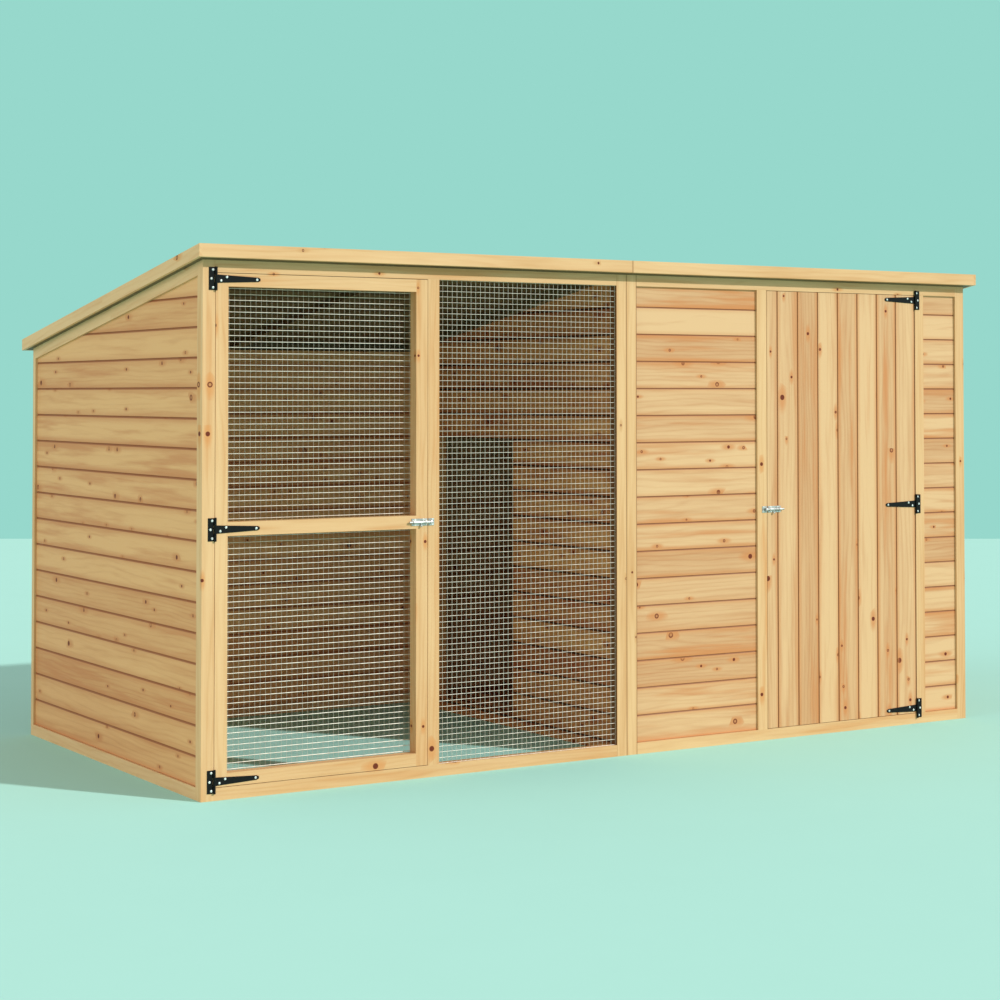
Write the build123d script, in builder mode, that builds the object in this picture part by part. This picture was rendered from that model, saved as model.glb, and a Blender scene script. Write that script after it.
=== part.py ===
from build123d import *
import math
import os

# A timber dog kennel with a run, in millimetres.
# +X runs along the front from the run to the kennel, +Y goes from the front to the back, +Z is up.
# The origin is on the ground under the middle of the roof.

# Overall sizes
length = 3600.0
depth = 1720.0
front_height = 1875.0
roof_pitch = 9.2
overhang_front = 45.0
overhang_end = 33.0

# Framing timber
post_width = 48.0
frame_depth = 45.0
back_frame_depth = 28.0
sill_height = 44.0
header_drop = 43.0
end_rail_height = 46.0
stud_depth = 24.0

# Horizontal boards on the walls
board_thickness = 12.0
board_cover = 106.7
board_recess = 9.0
board_gap = 0.4
board_bevel = 4.0
lap_height = 8.0
lap_thickness = 5.0

# Doors
door_gap = 2.0
run_door_width = 851.0
stile_width = 48.0
door_rail_height = 46.0
middle_rail_height = 48.0
middle_rail_centre = 937.0
kennel_door_width = 813.0
kennel_board_cover = 108.0
kennel_board_thickness = 14.0
tongue_depth = 5.0
tongue_thickness = 4.0
ledge_height = 95.0
ledge_thickness = 20.0
ledge_inset = 4.0
brace_width = 95.0
narrow_cladding_width = 187.0

# Welded mesh, drawn here with every fourth wire
net_thickness = 2.0
net_wire = 2.0
net_columns = 10
net_rows = 22
net_recess = 10.0
net_overlap = 18.0

# Hinges
plate_thickness = 2.0
crossplate_height = 80.0
crossplate_width = 26.0
barrel_radius = 4.5
barrel_stand_off = 0.5
pin_radius = 3.0
pin_head_radius = 4.2
pin_head_height = 1.5
running_clearance = 0.05
strap_length = 171.0
strap_root_height = 29.0
strap_tip_height = 15.0
hinge_play = 0.5
hinge_end_distance = 20.0

# Screws
screw_radius = 2.0
screw_length = 18.0
screw_head_radius = 4.0
screw_head_height = 1.6
screw_edge_distance = 4.5

# Barrel bolts
bolt_plate_length = 66.0
bolt_plate_height = 26.0
bolt_edge_distance = 2.0
bolt_radius = 4.0
bolt_stand_off = 8.0
bolt_length = 85.0
bolt_tip_reach = 5.0
saddle_radius = 6.5
saddle_length = 8.0
saddle_inset = 3.0
saddle_play = 1.0
knob_offset = 30.0
knob_length = 14.0
knob_stem_radius = 2.4
knob_ball_radius = 4.0
keep_plate_length = 24.0
keep_bore_clearance = 0.3
keep_tip_gap = 1.6
keep_edge_gap = 1.0

# Partition and its doorway
doorway_front = 815.0
doorway_width = 660.0
doorway_courses = 11
partition_rail_height = 44.0

# Kennel floor
bearer_height = 38.0
bearer_width = 44.0
floor_thickness = 12.0
floor_board_cover = 108.0

# Roof
roof_batten_depth = 30.0
roof_batten_width = 48.0
roof_board_thickness = 14.0
roof_board_cover = 108.0
felt_thickness = 2.0
edge_board_thickness = 12.0

# Places worked out from the sizes above
left = -length / 2
right = length / 2
front = -depth / 2
back = depth / 2
slope = math.tan(math.radians(roof_pitch))
header_bottom = front_height - header_drop
face_front = front + board_recess
inner_front = front + frame_depth
back_face = back - back_frame_depth
inner_back = back_face - board_thickness
door_bottom = sill_height + door_gap
door_top = header_bottom - door_gap
run_door_left = left + post_width + door_gap
run_door_right = run_door_left + run_door_width
mullion_left = run_door_right + door_gap
mullion_right = mullion_left + post_width
module_joint = 0.0
run_right_post_left = module_joint - post_width
kennel_left_post_right = module_joint + post_width
right_post_left = right - post_width
narrow_left = right_post_left - narrow_cladding_width
right_jamb_left = narrow_left - post_width
kennel_door_right = right_jamb_left - door_gap
kennel_door_left = kennel_door_right - kennel_door_width
left_jamb_right = kennel_door_left - door_gap
left_jamb_left = left_jamb_right - post_width
end_inner = board_recess + board_thickness
partition_face = module_joint - board_thickness
partition_frame_right = module_joint + post_width
doorway_low = front + doorway_front
doorway_high = doorway_low + doorway_width
doorway_top = sill_height + doorway_courses * board_cover
run_hinge_pin = left + post_width + door_gap / 2
kennel_hinge_pin = right_jamb_left - door_gap / 2
pin_y = front - barrel_stand_off - barrel_radius
hinge_heights = (
    door_bottom + hinge_end_distance,
    middle_rail_centre,
    door_top - hinge_end_distance,
)
roof_front = front - overhang_front
roof_back = back + overhang_front
roof_left = left - overhang_end
roof_right = right + overhang_end
roof_depth = roof_batten_depth + roof_board_thickness + felt_thickness
floor_top = bearer_height + floor_thickness
joint_low = module_joint - board_gap / 2
joint_high = module_joint + board_gap / 2

os.makedirs("parts", exist_ok=True)


def roof_under(y):
    """Height of the roof's underside at y."""
    return front_height - (y - front) * slope


def save(piece, name):
    """Labels a finished piece and writes its STEP file."""
    piece.part.label = name
    export_step(piece.part, f"parts/{name}.step")
    return piece


def block(x_low, x_high, y_low, y_high, z_low, z_high, mode=Mode.ADD):
    """Square-sawn timber between the given limits."""
    middle = ((x_low + x_high) / 2, (y_low + y_high) / 2, (z_low + z_high) / 2)
    with Locations(middle):
        Box(x_high - x_low, y_high - y_low, z_high - z_low, mode=mode)


def side_prism(points, x_low, x_high, mode=Mode.ADD):
    """Outline in Y and Z, run along X."""
    with BuildSketch(Plane.YZ.offset(x_low)) as outline:
        Polygon(*points, align=None)
    extrude(outline.sketch, amount=x_high - x_low, mode=mode)


def under_roof(x_low, x_high, y_low, y_high, bottom, mode=Mode.ADD):
    """Timber whose top is cut to the slope of the roof."""
    points = [
        (y_low, bottom),
        (y_high, bottom),
        (y_high, roof_under(y_high)),
        (y_low, roof_under(y_low)),
    ]
    side_prism(points, x_low, x_high, mode)


def roof_layer(x_low, x_high, y_low, y_high, lift, thickness, mode=Mode.ADD):
    """A sloping slab that lies lift above the roof's underside, with plumb-cut ends."""
    points = [
        (y_low, roof_under(y_low) + lift),
        (y_high, roof_under(y_high) + lift),
        (y_high, roof_under(y_high) + lift + thickness),
        (y_low, roof_under(y_low) + lift + thickness),
    ]
    side_prism(points, x_low, x_high, mode)


def front_holes(points, hole_radius, hole_depth, face=front):
    """Round holes drilled into a face that looks to the front."""
    with BuildSketch(Plane.XZ.offset(-face)) as holes:
        with Locations(*points):
            Circle(hole_radius)
    extrude(holes.sketch, amount=-hole_depth, mode=Mode.SUBTRACT)


def course_heights(low, high):
    """Bottom of each board of a wall between two heights."""
    count = math.ceil((high - low) / board_cover)
    return [low + i * board_cover for i in range(count)]


def board_profile(outer, inward):
    """Section of one wall board: a bevel above its face and a lap behind the next board."""
    behind = outer + inward * board_thickness
    lap_front = behind - inward * lap_thickness
    top = board_cover - board_gap
    return [
        (outer, 0),
        (lap_front - inward * board_gap, 0),
        (lap_front - inward * board_gap, lap_height + board_gap),
        (behind, lap_height + board_gap),
        (behind, top + lap_height),
        (lap_front, top + lap_height),
        (lap_front, top),
        (outer + inward * board_bevel / 2, top),
        (outer, top - board_bevel),
    ]


def boards_along_x(x_low, x_high, outer, inward, low, high):
    """Courses of wall boards that run along X, cut off level at the top."""
    heights = course_heights(low, high)
    with BuildSketch(Plane.YZ.offset(x_low)) as profiles:
        with Locations(*[(0, z) for z in heights]):
            Polygon(*board_profile(outer, inward), align=None)
    extrude(profiles.sketch, amount=x_high - x_low)
    y_low, y_high = sorted((outer, outer + inward * board_thickness))
    block(x_low, x_high, y_low, y_high, low, high, mode=Mode.INTERSECT)


def boards_along_y(outer, inward, y_low, y_high, top_drop):
    """Courses of wall boards that run along Y, cut to the slope of the roof."""
    heights = course_heights(sill_height, roof_under(y_low) - top_drop)
    with BuildSketch(Plane.XZ.offset(-y_low)) as profiles:
        with Locations(*[(0, z) for z in heights]):
            Polygon(*board_profile(outer, inward), align=None)
    extrude(profiles.sketch, amount=-(y_high - y_low))
    points = [
        (y_low, sill_height),
        (y_high, sill_height),
        (y_high, roof_under(y_high) - top_drop),
        (y_low, roof_under(y_low) - top_drop),
    ]
    x_low, x_high = sorted((outer, outer + inward * board_thickness))
    side_prism(points, x_low, x_high, mode=Mode.INTERSECT)


# Screw places on the hinges, as distances from the pin and from the hinge's middle
crossplate_screws = ((10.5, 31.0), (17.0, 0.0), (10.5, -31.0))
strap_screws = ((20.0, -6.0), (42.0, 6.5), (158.0, 0.0))


def hinge_points(pin_x, direction, places):
    """Screw centres of the three hinges on one door; direction is +1 towards +X."""
    return [(pin_x + direction * u, height + v) for height in hinge_heights for u, v in places]


run_post_screws = hinge_points(run_hinge_pin, -1, crossplate_screws)
run_strap_screws = hinge_points(run_hinge_pin, 1, strap_screws)
kennel_jamb_screws = hinge_points(kennel_hinge_pin, 1, crossplate_screws)
kennel_strap_screws = hinge_points(kennel_hinge_pin, -1, strap_screws)


def bolt_screw_points(edge, direction):
    """The four screws of a bolt's plate; direction points from the door's edge into the door."""
    margin = saddle_inset + saddle_length + screw_head_radius + saddle_play
    near = edge + direction * (bolt_edge_distance + margin)
    far = edge + direction * (bolt_edge_distance + bolt_plate_length - margin)
    rise = bolt_plate_height / 2 - screw_edge_distance
    return [(x, middle_rail_centre + s * rise) for x in (near, far) for s in (-1, 1)]


def keep_screw_points(edge, direction):
    """The two screws of a keep; direction points from the door's edge into the door."""
    reach = bolt_tip_reach + keep_tip_gap + saddle_length + screw_head_radius + saddle_play
    x = edge - direction * reach
    rise = bolt_plate_height / 2 - screw_edge_distance
    return [(x, middle_rail_centre + s * rise) for s in (-1, 1)]


run_bolt_screws = bolt_screw_points(run_door_right, -1)
kennel_bolt_screws = bolt_screw_points(kennel_door_left, 1)
run_keep_screws = keep_screw_points(run_door_right, -1)
kennel_keep_screws = keep_screw_points(kennel_door_left, 1)

# Front of the run
with BuildPart() as run_left_post:
    under_roof(left, left + post_width, front, inner_front, 0)
    front_holes(run_post_screws, screw_radius, screw_length)
save(run_left_post, "run_left_post")

with BuildPart() as run_right_post:
    under_roof(run_right_post_left, module_joint, front, inner_front, 0)
save(run_right_post, "run_right_post")

with BuildPart() as run_header:
    under_roof(left + post_width, run_right_post_left, front, inner_front, header_bottom)
save(run_header, "run_header")

with BuildPart() as run_sill:
    block(left + post_width, run_right_post_left, front, inner_front, 0, sill_height)
save(run_sill, "run_sill")

with BuildPart() as run_mullion:
    block(mullion_left, mullion_right, front, inner_front, sill_height, header_bottom)
    front_holes(run_keep_screws, screw_radius, screw_length)
save(run_mullion, "run_mullion")


def net(x_low, x_high, z_low, z_high, y):
    """Welded mesh sheet with its rear face at y + net_thickness."""
    pitch_x = (x_high - x_low - net_wire) / net_columns
    pitch_z = (z_high - z_low - net_wire) / net_rows
    middle = ((x_low + x_high) / 2, (z_low + z_high) / 2)
    with BuildSketch(Plane.XZ.offset(-y)) as sheet:
        with Locations(middle):
            Rectangle(x_high - x_low, z_high - z_low)
            with GridLocations(pitch_x, pitch_z, net_columns, net_rows):
                Rectangle(pitch_x - net_wire, pitch_z - net_wire, mode=Mode.SUBTRACT)
    extrude(sheet.sketch, amount=-net_thickness)


with BuildPart() as run_fixed_mesh:
    net(mullion_right, run_right_post_left, sill_height, header_bottom, front + net_recess)
save(run_fixed_mesh, "run_fixed_mesh")

# Front of the kennel
with BuildPart() as kennel_left_post:
    under_roof(module_joint, kennel_left_post_right, front, inner_front, 0)
save(kennel_left_post, "kennel_left_post")

with BuildPart() as kennel_right_post:
    under_roof(right_post_left, right, front, inner_front, 0)
save(kennel_right_post, "kennel_right_post")

with BuildPart() as kennel_header:
    under_roof(kennel_left_post_right, right_post_left, front, inner_front, header_bottom)
    front_holes(kennel_jamb_screws, screw_radius, screw_length)
save(kennel_header, "kennel_header")

with BuildPart() as kennel_sill:
    block(kennel_left_post_right, right_post_left, front, inner_front, 0, sill_height)
    front_holes(kennel_jamb_screws, screw_radius, screw_length)
save(kennel_sill, "kennel_sill")

with BuildPart() as kennel_left_jamb:
    block(left_jamb_left, left_jamb_right, front, inner_front, sill_height, header_bottom)
    front_holes(kennel_keep_screws, screw_radius, screw_length)
save(kennel_left_jamb, "kennel_left_jamb")

with BuildPart() as kennel_right_jamb:
    block(right_jamb_left, narrow_left, front, inner_front, sill_height, header_bottom)
    front_holes(kennel_jamb_screws, screw_radius, screw_length)
save(kennel_right_jamb, "kennel_right_jamb")

with BuildPart() as kennel_wide_cladding:
    boards_along_x(kennel_left_post_right, left_jamb_left, face_front, 1, sill_height, header_bottom)
save(kennel_wide_cladding, "kennel_wide_cladding")

with BuildPart() as kennel_narrow_cladding:
    boards_along_x(narrow_left, right_post_left, face_front, 1, sill_height, header_bottom)
save(kennel_narrow_cladding, "kennel_narrow_cladding")

# Left end wall, and the right one as its mirror image
mirror_plane = Plane.YZ.offset(module_joint)
end_low = inner_front
end_high = back_face

with BuildPart() as left_end_bottom_rail:
    block(left, left + frame_depth, end_low, end_high, 0, sill_height)
save(left_end_bottom_rail, "left_end_bottom_rail")

with BuildPart() as left_end_top_rail:
    roof_layer(left, left + frame_depth, end_low, end_high, -end_rail_height, end_rail_height)
save(left_end_top_rail, "left_end_top_rail")

with BuildPart() as left_end_cladding:
    boards_along_y(left + board_recess, 1, end_low, end_high, end_rail_height)
save(left_end_cladding, "left_end_cladding")

with BuildPart() as right_end_bottom_rail:
    add(mirror(left_end_bottom_rail.part, about=mirror_plane))
save(right_end_bottom_rail, "right_end_bottom_rail")

with BuildPart() as right_end_top_rail:
    add(mirror(left_end_top_rail.part, about=mirror_plane))
save(right_end_top_rail, "right_end_top_rail")

with BuildPart() as right_end_cladding:
    add(mirror(left_end_cladding.part, about=mirror_plane))
save(right_end_cladding, "right_end_cladding")

stud_starts = (end_low, (end_low + end_high - post_width) / 2, end_high - post_width)
with BuildPart() as end_wall_studs:
    for stud_start in stud_starts:
        stud_end = stud_start + post_width
        points = [
            (stud_start, sill_height),
            (stud_end, sill_height),
            (stud_end, roof_under(stud_end) - end_rail_height),
            (stud_start, roof_under(stud_start) - end_rail_height),
        ]
        side_prism(points, left + end_inner, left + end_inner + stud_depth)
        side_prism(points, right - end_inner - stud_depth, right - end_inner)
save(end_wall_studs, "end_wall_studs")

# Back wall
back_post_starts = (left, run_right_post_left, module_joint, right_post_left)
with BuildPart() as back_posts:
    for start in back_post_starts:
        under_roof(start, start + post_width, back_face, back, 0)
    # The posts of the two halves stand side by side, so a hair's width parts them
    block(joint_low, joint_high, back_face, back, 0, front_height, mode=Mode.SUBTRACT)
save(back_posts, "back_posts")

back_spans = ((left + post_width, run_right_post_left), (kennel_left_post_right, right_post_left))
back_rail_bottom = roof_under(back) - end_rail_height
with BuildPart() as back_rails:
    for span_low, span_high in back_spans:
        block(span_low, span_high, back_face, back, 0, sill_height)
        under_roof(span_low, span_high, back_face, back, back_rail_bottom)
save(back_rails, "back_rails")

back_cladding_top = roof_under(back_face) - board_gap
with BuildPart() as back_cladding:
    for span_low, span_high in (
        (left + end_inner + stud_depth, partition_face),
        (partition_frame_right, right - end_inner - stud_depth),
    ):
        with BuildSketch(Plane.YZ.offset(span_low)) as back_profiles:
            with Locations(*[(0, z) for z in course_heights(sill_height, back_cladding_top)]):
                Polygon(*board_profile(back_face, -1), align=None)
        extrude(back_profiles.sketch, amount=span_high - span_low)
    block(left, right, inner_back, back_face, sill_height, back_cladding_top, mode=Mode.INTERSECT)
save(back_cladding, "back_cladding")

# Partition between the run and the kennel
partition_low = inner_front
partition_high = inner_back
with BuildPart() as partition_rails:
    frame_x = (module_joint, partition_frame_right)
    block(*frame_x, partition_low, partition_high, 0, partition_rail_height)
    roof_layer(*frame_x, partition_low, partition_high, -end_rail_height, end_rail_height)
save(partition_rails, "partition_rails")

partition_stud_starts = (
    partition_low,
    doorway_low - post_width,
    doorway_high,
    partition_high - post_width,
)
with BuildPart() as partition_studs:
    for stud_start in partition_stud_starts:
        stud_end = stud_start + post_width
        points = [
            (stud_start, partition_rail_height),
            (stud_end, partition_rail_height),
            (stud_end, roof_under(stud_end) - end_rail_height),
            (stud_start, roof_under(stud_start) - end_rail_height),
        ]
        side_prism(points, module_joint, partition_frame_right)
    lintel_low = doorway_low + board_gap
    lintel_high = doorway_high - board_gap
    block(*frame_x, lintel_low, lintel_high, doorway_top, doorway_top + post_width)
save(partition_studs, "partition_studs")


def partition_boards(y_low, y_high, low, high):
    """Boards of the partition between two heights, with their faces towards the run."""
    heights = course_heights(low, high)
    with BuildSketch(Plane.XZ.offset(-y_low)) as profiles:
        with Locations(*[(0, z) for z in heights]):
            Polygon(*board_profile(partition_face, 1), align=None)
    extrude(profiles.sketch, amount=-(y_high - y_low))
    points = [
        (y_low, low),
        (y_high, low),
        (y_high, min(high, roof_under(y_high) - board_gap)),
        (y_low, min(high, roof_under(y_low) - board_gap)),
    ]
    side_prism(points, partition_face, module_joint, mode=Mode.INTERSECT)


with BuildPart() as partition_front_boards:
    partition_boards(partition_low, doorway_low, sill_height, doorway_top - board_gap)
save(partition_front_boards, "partition_front_boards")

with BuildPart() as partition_back_boards:
    partition_boards(doorway_high, partition_high, sill_height, doorway_top - board_gap)
save(partition_back_boards, "partition_back_boards")

with BuildPart() as partition_top_boards:
    partition_boards(partition_low, partition_high, doorway_top, front_height)
save(partition_top_boards, "partition_top_boards")

with BuildPart() as partition_foot_board:
    block(partition_face, module_joint, partition_low, partition_high, 0, sill_height - board_gap)
save(partition_foot_board, "partition_foot_board")

# Kennel floor
floor_left = partition_frame_right
floor_right = right - frame_depth
floor_low = inner_front
floor_high = inner_back
bearer_pitch = (floor_high - floor_low - bearer_width) / 3
with BuildPart() as floor_bearers:
    for i in range(4):
        bearer_low = floor_low + i * bearer_pitch
        block(floor_left, floor_right, bearer_low, bearer_low + bearer_width, 0, bearer_height)
save(floor_bearers, "floor_bearers")

floor_board_count = math.ceil((floor_right - floor_left) / floor_board_cover)
with BuildPart() as floor_boards:
    for i in range(floor_board_count):
        board_left = floor_left + i * floor_board_cover
        board_right = min(board_left + floor_board_cover - board_gap, floor_right)
        block(board_left, board_right, floor_low, floor_high, bearer_height, floor_top)
save(floor_boards, "floor_boards")

# Run door
run_stile_left = run_door_left + stile_width
run_stile_right = run_door_right - stile_width
with BuildPart() as run_door_hinge_stile:
    block(run_door_left, run_stile_left, front, inner_front, door_bottom, door_top)
    front_holes(run_strap_screws, screw_radius, screw_length)
save(run_door_hinge_stile, "run_door_hinge_stile")

with BuildPart() as run_door_lock_stile:
    block(run_stile_right, run_door_right, front, inner_front, door_bottom, door_top)
    front_holes(run_bolt_screws, screw_radius, screw_length)
save(run_door_lock_stile, "run_door_lock_stile")


def run_door_rail(low, high):
    """Rail of the run's door between two heights, drilled for what screws to it."""
    block(run_stile_left, run_stile_right, front, inner_front, low, high)
    front_holes(run_strap_screws, screw_radius, screw_length)
    front_holes(run_bolt_screws, screw_radius, screw_length)


with BuildPart() as run_door_top_rail:
    run_door_rail(door_top - door_rail_height, door_top)
save(run_door_top_rail, "run_door_top_rail")

with BuildPart() as run_door_middle_rail:
    half = middle_rail_height / 2
    run_door_rail(middle_rail_centre - half, middle_rail_centre + half)
save(run_door_middle_rail, "run_door_middle_rail")

with BuildPart() as run_door_bottom_rail:
    run_door_rail(door_bottom, door_bottom + door_rail_height)
save(run_door_bottom_rail, "run_door_bottom_rail")

with BuildPart() as run_door_mesh:
    net(
        run_stile_left - net_overlap,
        run_stile_right + net_overlap,
        door_bottom + door_rail_height - net_overlap,
        door_top - door_rail_height + net_overlap,
        inner_front,
    )
save(run_door_mesh, "run_door_mesh")

# Kennel door
kennel_board_back = front + kennel_board_thickness
tongue_front = front + (kennel_board_thickness - tongue_thickness) / 2
tongue_back = tongue_front + tongue_thickness
bevel = board_bevel / 2
full_boards = math.floor(kennel_door_width / kennel_board_cover)
board_edges = [kennel_door_right - i * kennel_board_cover for i in range(full_boards + 1)]
board_edges.append(kennel_door_left)


def door_board(low, high):
    """Section of one upright board of the door, with a tongue on its left and a groove on its right."""
    face = high - board_gap
    points = [
        (low + bevel, front),
        (face - bevel, front),
        (face, front + bevel),
        (face, tongue_front - board_gap),
        (face - tongue_depth - board_gap, tongue_front - board_gap),
        (face - tongue_depth - board_gap, tongue_back + board_gap),
        (face, tongue_back + board_gap),
        (face, kennel_board_back),
        (low, kennel_board_back),
        (low, tongue_back),
        (low - tongue_depth, tongue_back),
        (low - tongue_depth, tongue_front),
        (low, tongue_front),
        (low, front + bevel),
    ]
    Polygon(*points, align=None)


with BuildPart() as kennel_door_boards:
    with BuildSketch(Plane.XY.offset(door_bottom)) as board_sections:
        for high, low in zip(board_edges, board_edges[1:]):
            door_board(low, high)
    extrude(amount=door_top - door_bottom)
    door_x = (kennel_door_left, kennel_door_right)
    block(*door_x, front, kennel_board_back, door_bottom, door_top, mode=Mode.INTERSECT)
    front_holes(kennel_strap_screws, screw_radius, screw_length)
    front_holes(kennel_bolt_screws, screw_radius, screw_length)
save(kennel_door_boards, "kennel_door_boards")

ledge_back = kennel_board_back + ledge_thickness
ledge_left = kennel_door_left + ledge_inset
ledge_right = kennel_door_right - ledge_inset
ledge_bottoms = (
    door_bottom + ledge_inset,
    middle_rail_centre - ledge_height / 2,
    door_top - ledge_inset - ledge_height,
)
with BuildPart() as kennel_door_ledges:
    for low in ledge_bottoms:
        block(ledge_left, ledge_right, kennel_board_back, ledge_back, low, low + ledge_height)
    front_holes(kennel_strap_screws, screw_radius, screw_length)
    front_holes(kennel_bolt_screws, screw_radius, screw_length)
save(kennel_door_ledges, "kennel_door_ledges")

with BuildPart() as kennel_door_braces:
    for low_ledge, high_ledge in zip(ledge_bottoms, ledge_bottoms[1:]):
        low = low_ledge + ledge_height
        high = high_ledge
        foot = ledge_right
        head = ledge_left
        run = foot - head - brace_width
        with BuildSketch(Plane.XZ.offset(-kennel_board_back)) as brace:
            Polygon((foot - brace_width, low), (foot, low), (foot - run, high), (head, high), align=None)
        extrude(brace.sketch, amount=-ledge_thickness)
save(kennel_door_braces, "kennel_door_braces")


# Hinges
def barrel_ring(pin_x, low, high, bore):
    """Rolled knuckle about the pin between two heights."""
    with BuildSketch(Plane.XY.offset(low)) as ring:
        with Locations((pin_x, pin_y)):
            Circle(barrel_radius)
            Circle(bore, mode=Mode.SUBTRACT)
    extrude(ring.sketch, amount=high - low)


def knuckle(pin_x, direction, low, high, reach, bore):
    """A knuckle with the web that joins it to its plate, reach away on the side of direction."""
    x_low, x_high = sorted((pin_x, pin_x + direction * reach))
    block(x_low, x_high, front - plate_thickness, front, low, high)
    with BuildSketch(Plane.XY.offset(low)) as clear:
        with Locations((pin_x, pin_y)):
            Circle(barrel_radius)
    extrude(clear.sketch, amount=high - low)
    with BuildSketch(Plane.XY.offset(low)) as hole:
        with Locations((pin_x, pin_y)):
            Circle(bore)
    extrude(hole.sketch, amount=high - low, mode=Mode.SUBTRACT)


strap_half = strap_root_height / 2
knuckle_start = strap_half + hinge_play
crossplate_edge = barrel_radius + hinge_play
bore_radius = pin_radius + running_clearance


def crossplate(pin_x, direction, height):
    """Upright plate of one hinge, with the knuckles above and below the strap."""
    inner = pin_x + direction * crossplate_edge
    outer = pin_x + direction * crossplate_width
    x_low, x_high = sorted((inner, outer))
    half = crossplate_height / 2
    block(x_low, x_high, front - plate_thickness, front, height - half, height + half)
    knuckle(pin_x, direction, height + knuckle_start, height + half, crossplate_edge, bore_radius)
    knuckle(pin_x, direction, height - half, height - knuckle_start, crossplate_edge, bore_radius)


with BuildPart() as hinge_crossplates:
    for height in hinge_heights:
        crossplate(run_hinge_pin, -1, height)
        crossplate(kennel_hinge_pin, 1, height)
    plate_face = front - plate_thickness
    front_holes(run_post_screws + kennel_jamb_screws, screw_radius, plate_thickness, plate_face)
save(hinge_crossplates, "hinge_crossplates")

with BuildPart() as hinge_pins:
    pin_half = crossplate_height / 2
    for pin_x in (run_hinge_pin, kennel_hinge_pin):
        for height in hinge_heights:
            with Locations((pin_x, pin_y, height)):
                Cylinder(pin_radius, crossplate_height)
            for side in (-1, 1):
                with Locations((pin_x, pin_y, height + side * (pin_half + pin_head_height / 2))):
                    Cylinder(pin_head_radius, pin_head_height)
save(hinge_pins, "hinge_pins")


def strap(pin_x, direction, height):
    """Tapered strap of one hinge, with its knuckle between those of the crossplate."""
    root = pin_x + direction * crossplate_edge
    tip = pin_x + direction * strap_length
    tip_half = strap_tip_height / 2
    corners = [
        (root, height - strap_half),
        (tip - direction * tip_half, height - tip_half),
        (tip, height - tip_half / 2),
        (tip, height + tip_half / 2),
        (tip - direction * tip_half, height + tip_half),
        (root, height + strap_half),
    ]
    with BuildSketch(Plane.XZ.offset(-front)) as outline:
        Polygon(*corners, align=None)
    extrude(outline.sketch, amount=plate_thickness)
    knuckle(pin_x, direction, height - strap_half, height + strap_half, crossplate_edge, bore_radius)


with BuildPart() as run_hinge_straps:
    for height in hinge_heights:
        strap(run_hinge_pin, 1, height)
    front_holes(run_strap_screws, screw_radius, plate_thickness, front - plate_thickness)
save(run_hinge_straps, "run_hinge_straps")

with BuildPart() as kennel_hinge_straps:
    for height in hinge_heights:
        strap(kennel_hinge_pin, -1, height)
    front_holes(kennel_strap_screws, screw_radius, plate_thickness, front - plate_thickness)
save(kennel_hinge_straps, "kennel_hinge_straps")


# Barrel bolts
def saddle(x_low, x_high, bore):
    """Bridge that holds the bolt between two places along X."""
    with BuildSketch(Plane.YZ.offset(x_low)) as bridge:
        with Locations((front - bolt_stand_off, middle_rail_centre)):
            Circle(saddle_radius)
        with Locations((front - (bolt_stand_off + plate_thickness) / 2, middle_rail_centre)):
            Rectangle(bolt_stand_off - plate_thickness, 2 * saddle_radius)
        with Locations((front - bolt_stand_off, middle_rail_centre)):
            Circle(bore, mode=Mode.SUBTRACT)
    extrude(bridge.sketch, amount=x_high - x_low)


def bolt_plate(edge, direction):
    """Plate of one bolt with its two saddles; direction points from the door's edge into the door."""
    start = edge + direction * bolt_edge_distance
    end = start + direction * bolt_plate_length
    x_low, x_high = sorted((start, end))
    half = bolt_plate_height / 2
    low, high = middle_rail_centre - half, middle_rail_centre + half
    block(x_low, x_high, front - plate_thickness, front, low, high)
    bore = bolt_radius + running_clearance
    saddle(x_low + saddle_inset, x_low + saddle_inset + saddle_length, bore)
    saddle(x_high - saddle_inset - saddle_length, x_high - saddle_inset, bore)
    points = bolt_screw_points(edge, direction)
    front_holes(points, screw_radius, plate_thickness, front - plate_thickness)


def bolt_shaft(edge, direction):
    """Sliding bolt with its knob turned down; its tip reaches past the door's edge."""
    tip = edge - direction * bolt_tip_reach
    x_low, x_high = sorted((tip, tip + direction * bolt_length))
    knob_x = edge + direction * knob_offset
    shaft_y = front - bolt_stand_off
    with Locations(((x_low + x_high) / 2, shaft_y, middle_rail_centre)):
        Cylinder(bolt_radius, x_high - x_low, rotation=(0, 90, 0))
    with Locations((knob_x, shaft_y, middle_rail_centre - knob_length / 2)):
        Cylinder(knob_stem_radius, knob_length)
    with Locations((knob_x, shaft_y, middle_rail_centre - knob_length)):
        Sphere(knob_ball_radius)


def keep(edge, direction):
    """Keep on the frame that the bolt slides into."""
    start = edge - direction * (door_gap + keep_edge_gap)
    end = start - direction * keep_plate_length
    x_low, x_high = sorted((start, end))
    half = bolt_plate_height / 2
    low, high = middle_rail_centre - half, middle_rail_centre + half
    block(x_low, x_high, front - plate_thickness, front, low, high)
    mouth = edge - direction * (bolt_tip_reach + keep_tip_gap)
    saddle_low, saddle_high = sorted((mouth, mouth - direction * saddle_length))
    saddle(saddle_low, saddle_high, bolt_radius + keep_bore_clearance)
    points = keep_screw_points(edge, direction)
    front_holes(points, screw_radius, plate_thickness, front - plate_thickness)


with BuildPart() as run_bolt_plate:
    bolt_plate(run_door_right, -1)
save(run_bolt_plate, "run_bolt_plate")

with BuildPart() as kennel_bolt_plate:
    bolt_plate(kennel_door_left, 1)
save(kennel_bolt_plate, "kennel_bolt_plate")

with BuildPart() as run_bolt_shaft:
    bolt_shaft(run_door_right, -1)
save(run_bolt_shaft, "run_bolt_shaft")

with BuildPart() as kennel_bolt_shaft:
    bolt_shaft(kennel_door_left, 1)
save(kennel_bolt_shaft, "kennel_bolt_shaft")

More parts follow.
